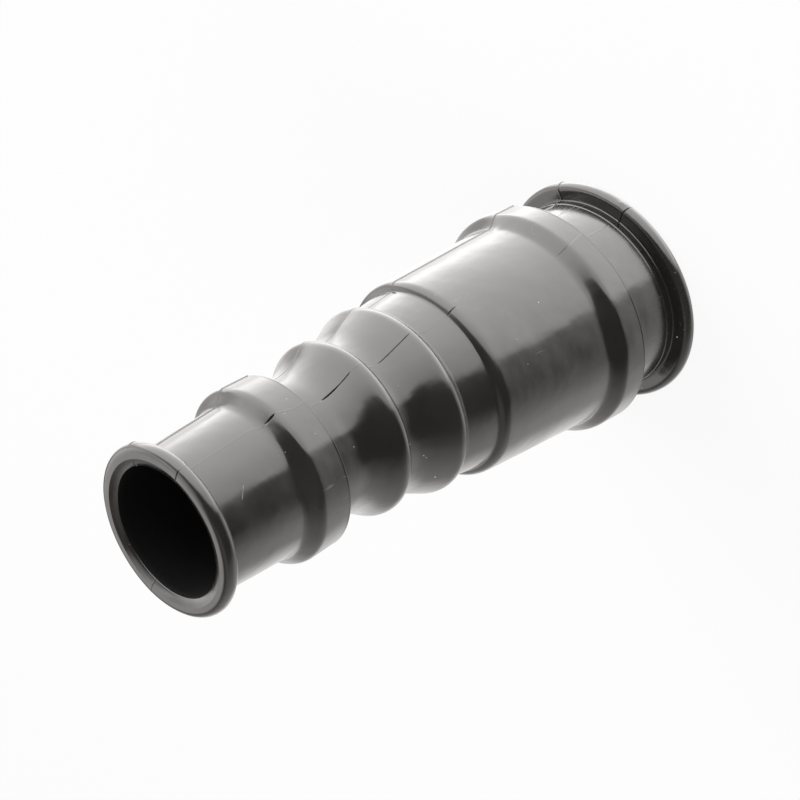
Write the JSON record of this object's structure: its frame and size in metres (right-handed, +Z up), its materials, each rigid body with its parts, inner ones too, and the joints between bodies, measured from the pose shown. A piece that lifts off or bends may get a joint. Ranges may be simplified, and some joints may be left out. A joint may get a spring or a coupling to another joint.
{
  "type": "rubber bellows boot",
  "caption": "One-piece moulded rubber boot joining two pipe ends of different size: rolled lips, clamp seats, raised collars and a convoluted flexible middle.",
  "frame": {"origin": "centre of the large lip's flat end face, which the boot stands on", "axes": "+Z up the boot's axis from the large end to the small end; +X to the side that the picture is taken from"},
  "size_m": [0.0666, 0.0666, 0.1677],
  "materials": {
    "black_rubber": "near-black moulded rubber with a satin to semi-gloss skin"
  },
  "bodies": {
    "root": {"bellows_boot": "black_rubber"}
  },
  "joints": []
}
